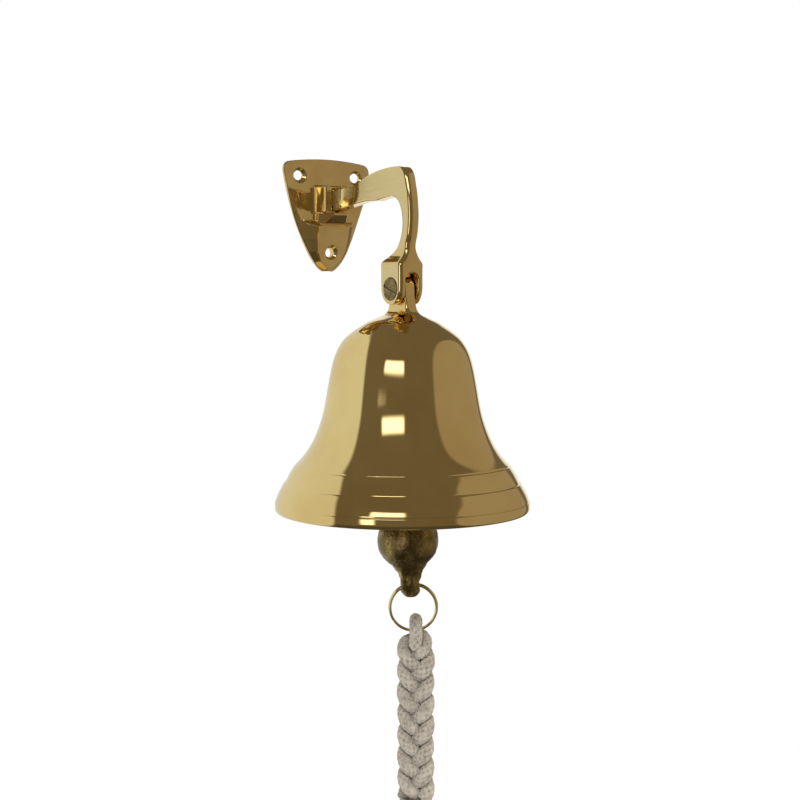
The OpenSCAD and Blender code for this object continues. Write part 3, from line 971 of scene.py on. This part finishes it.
def filed_brass():
    """The arm's brass: glossy round its edges, satin where its sides were filed flat."""
    material, graph, shader, place = new_material("arm_brass")
    filed = graph.node("ShaderNodeAttribute", attribute_name="filed").outputs["Fac"]
    tone = graph.ramp(graph.noise(place, 60, 4), 0.35, 0.7)
    polished = graph.mix(tone, ARM_GOLD, ARM_BROWN)
    graph.plug(shader.inputs["Base Color"], graph.mix(filed, polished, ARM_SATIN))
    shader.inputs["Metallic"].default_value = 1
    gloss = graph.ramp(graph.noise(place, 80, 5), 0.4, 0.7, 0.05, 0.12)
    satin = graph.ramp(graph.noise(graph.stretched(place, (300, 90, 900)), 1, 4), 0.3, 0.7,
                       0.26, 0.36)
    roughness = graph.node("ShaderNodeMix", data_type="FLOAT")
    graph.plug(roughness.inputs[0], filed)
    graph.plug(roughness.inputs[2], gloss)
    graph.plug(roughness.inputs[3], satin)
    graph.plug(shader.inputs["Roughness"], roughness.outputs[0])
    uneven = graph.bump(graph.noise(place, 90, 1.5), 0.00004)
    brushing = graph.noise(graph.stretched(place, (1500, 500, 2600)), 1, 2)
    lines = graph.bump(graph.math("MULTIPLY", brushing, filed), 0.000006, 1, uneven)
    graph.plug(shader.inputs["Normal"], lines)
    return material


def turned_bronze():
    """The screw's darker bronze, with the rings of its facing cut."""
    material, graph, shader, place = new_material("screw_bronze")
    tone = graph.ramp(graph.noise(place, 300, 4), 0.35, 0.7)
    graph.plug(shader.inputs["Base Color"],
               graph.mix(tone, (0.30, 0.22, 0.09), (0.16, 0.11, 0.05)))
    shader.inputs["Metallic"].default_value = 1
    roughness = graph.ramp(graph.noise(place, 500, 3), 0.35, 0.7, 0.22, 0.36)
    graph.plug(shader.inputs["Roughness"], roughness)
    centre = graph.node("ShaderNodeVectorMath", {0: place, 1: tuple(PIVOT / 1000)},
                        operation="SUBTRACT").outputs[0]
    flat = graph.stretched(centre, (0, 1, 1))
    rho = graph.node("ShaderNodeVectorMath", {0: flat}, operation="LENGTH").outputs["Value"]
    rings = graph.math("SINE", graph.math("MULTIPLY", rho, 9000))
    graph.plug(shader.inputs["Normal"], graph.bump(rings, 0.000012))
    return material


def cast_brass():
    """The clapper's unpolished casting: dark in its hollows, worn bright on its lumps."""
    material, graph, shader, place = new_material("clapper_brass")
    height = graph.node("ShaderNodeAttribute", attribute_name="height").outputs["Fac"]
    mottle = graph.noise(place, 260, 5, 0.65)
    wear_and_shade_mask = graph.ramp(graph.math("ADD", height, graph.math("MULTIPLY", mottle, 0.6)), 0.15, 0.8)
    base = graph.mix(wear_and_shade_mask, (0.20, 0.145, 0.056), (0.62, 0.46, 0.19))
    graph.plug(shader.inputs["Base Color"], base)
    shader.inputs["Metallic"].default_value = 1
    graph.plug(shader.inputs["Roughness"],
               graph.ramp(graph.noise(place, 330, 5), 0.3, 0.7, 0.2, 0.42))
    pits = graph.bump(graph.noise(place, 420, 6, 0.6), 0.0005, 0.8)
    grain = graph.bump(graph.noise(place, 1700, 3), 0.00012, 0.7, pits)
    graph.plug(shader.inputs["Normal"], grain)
    return material


def cotton():
    """Unbleached cotton: grey-beige, with painted shade between its yarns, and a soft nap."""
    material, graph, shader, place = new_material("cotton_rope")
    blotch = graph.ramp(graph.noise(place, 130, 4), 0.35, 0.7)
    fibre = graph.ramp(graph.noise(graph.stretched(place, (1400, 1400, 600)), 1, 4), 0.3, 0.7)
    base = graph.mix(blotch, (0.40, 0.355, 0.295), (0.25, 0.205, 0.16))
    base = graph.mix(graph.math("MULTIPLY", fibre, 0.6), base, (0.58, 0.53, 0.46))
    height = graph.node("ShaderNodeAttribute", attribute_name="height").outputs["Fac"]
    # Painted shade: the colour is darkened towards (0.10, 0.078, 0.056) where the braid's height is
    # low, between the yarns; a noise varies how strong this painted shade is from place to place.
    wear_and_shade_mask = graph.ramp(graph.noise(place, 220, 4), 0.3, 0.7, 0.15, 0.7)
    painted_crease_shade = graph.math("MULTIPLY", graph.ramp(height, 0.35, 0.85, 1, 0), wear_and_shade_mask)
    graph.plug(shader.inputs["Base Color"], graph.mix(painted_crease_shade, base, (0.10, 0.078, 0.056)))
    shader.inputs["Roughness"].default_value = 0.9
    shader.inputs["Sheen Weight"].default_value = 0.25
    shader.inputs["Sheen Roughness"].default_value = 0.5
    graph.plug(shader.inputs["Normal"], graph.bump(fibre, 0.00025, 0.8))
    return material


BELL_GOLD = (0.86, 0.66, 0.30)
BELL_BROWN = (0.80, 0.58, 0.245)
ARM_GOLD = (0.84, 0.64, 0.29)
ARM_BROWN = (0.74, 0.52, 0.21)
ARM_SATIN = (0.80, 0.64, 0.33)

# ---------------------------------------------------------------- stage


def add_floor():
    """A plain pale disc of floor well below the tassel."""
    radius, low, sides = 0.55, -0.46, 128
    rim = [(radius * math.cos(2 * math.pi * k / sides),
            radius * math.sin(2 * math.pi * k / sides) - REACH / 1000, low)
           for k in range(sides)]
    mesh = bpy.data.meshes.new("floor")
    mesh.from_pydata(rim, [], [list(range(sides))])
    floor = bpy.data.objects.new("floor", mesh)
    bpy.context.scene.collection.objects.link(floor)
    material, graph, shader, place = new_material("floor")
    tone = graph.ramp(graph.noise(place, 3, 2), 0.3, 0.7)
    graph.plug(shader.inputs["Base Color"], graph.mix(tone, (0.86, 0.86, 0.86),
                                                      (0.88, 0.88, 0.88)))
    shader.inputs["Roughness"].default_value = 0.8
    mesh.materials.append(material)
    floor.visible_glossy = False


def add_light(name, place, target, size, power, glossy):
    """A square soft light that faces a target."""
    light = bpy.data.lights.new(name, "AREA")
    light.size = size
    light.energy = power
    lamp = bpy.data.objects.new(name, light)
    bpy.context.scene.collection.objects.link(lamp)
    lamp.location = place
    lamp.rotation_euler = (Vector(target) - Vector(place)).to_track_quat("-Z", "Y").to_euler()
    lamp.visible_glossy = glossy


def add_lights():
    centre = (0, -0.08, -0.15)
    add_light("key", (-1.0, -1.3, 1.1), centre, 0.9, 34, False)
    add_light("top", (0.2, 0.1, 1.9), centre, 2.2, 60, False)
    add_light("fill", (1.4, -0.9, 0.3), centre, 1.0, 12, False)


# The studio is plain: an even warm grey, a white backdrop, two round screens and two soft boxes.
# Ways in it are measured in degrees, to the right of the way back to the camera and up.
SURROUND = (0.165, 0.138, 0.10)
GROUND = (0.085, 0.075, 0.057)

# Round screens: turn of the middle, radius, colour
SCREENS = [(180, 24, (0.95, 0.95, 0.93)),
           (-117, 55, (0.74, 0.76, 0.72)),
           (97, 49, (0.36, 0.31, 0.235))]
SCREEN_EDGE = 0.03

# Soft boxes: turn, rise, half width, half height, brightness
BOXES = [(-14, 27, 16, 6, 2.3),
         (-31, 0, 6, 13, 1.9)]
BOX_EDGE = 2.5


def add_screen(graph, light, way, turn, radius, colour):
    """Lays a large round screen with a soft edge over the light."""
    right, _, back = look_axes()
    toward = Vector((back.x, back.y, 0)).normalized()
    middle = math.sin(math.radians(turn)) * right + math.cos(math.radians(turn)) * toward
    rim = math.cos(math.radians(radius))
    inside = graph.ramp(graph.dot(way, tuple(middle)), rim - SCREEN_EDGE, rim + SCREEN_EDGE)
    return graph.mix(inside, light, colour)


def add_box(graph, light, azimuth, elevation, box):
    """Lays one soft box over the light."""
    turn, rise, half_width, half_height, brightness = box
    inside = 1.0
    for angle, middle, half in ((azimuth, turn, half_width), (elevation, rise, half_height)):
        off = graph.math("ABSOLUTE", graph.math("SUBTRACT", angle, middle))
        near = graph.ramp(off, half - BOX_EDGE, half + BOX_EDGE, 1, 0)
        inside = graph.math("MULTIPLY", near, inside)
    return graph.mix(inside, light, (brightness, brightness, brightness))


def add_studio():
    """White to the camera. Reflections see the plain studio's screens and soft boxes."""
    world = bpy.data.worlds.new("studio")
    world.use_nodes = True
    bpy.context.scene.world = world
    graph = Graph(world.node_tree)
    way = graph.node("ShaderNodeTexCoord").outputs["Generated"]
    right, _, back = look_axes()
    toward = Vector((back.x, back.y, 0)).normalized()
    azimuth = graph.math("ARCTAN2", graph.dot(way, tuple(right)), graph.dot(way, tuple(toward)))
    azimuth = graph.math("MULTIPLY", azimuth, 180 / math.pi)
    height = graph.dot(way, (0, 0, 1))
    elevation = graph.math("MULTIPLY", graph.math("ARCSINE", height), 180 / math.pi)

    light = graph.mix(graph.ramp(elevation, -36, -20), GROUND, SURROUND)
    for turn, radius, colour in SCREENS:
        light = add_screen(graph, light, way, turn, radius, colour)
    for box in BOXES:
        light = add_box(graph, light, azimuth, elevation, box)
    seen = graph.node("ShaderNodeLightPath").outputs["Is Camera Ray"]
    light = graph.mix(seen, light, (1, 1, 1))
    sky = graph.node("ShaderNodeBackground", {"Color": light})
    graph.node("ShaderNodeOutputWorld", {"Surface": sky.outputs[0]})


# ---------------------------------------------------------------- make everything

add_camera()
add_rope(cotton())

add_split_ring(polished_brass("ring_brass", (0.90, 0.76, 0.42), (0.82, 0.66, 0.33), 0.06, 0.14))
add_clapper(cast_brass())
add_bell(turned_brass())
add_arm(filed_brass())
add_plate(polished_brass("plate_brass", BELL_GOLD, ARM_BROWN, wave=0.0005))
add_screw(turned_bronze())

wire_brass = polished_brass("wire_brass", (0.52, 0.38, 0.16), (0.30, 0.21, 0.09), 0.18, 0.34)
for node in ("crown_staple", "clapper_link"):
    for holder in frame["nodes"][node].material_slots:
        holder.material = wire_brass

add_floor()
add_lights()
add_studio()
bpy.context.scene.view_settings.view_transform = "Standard"
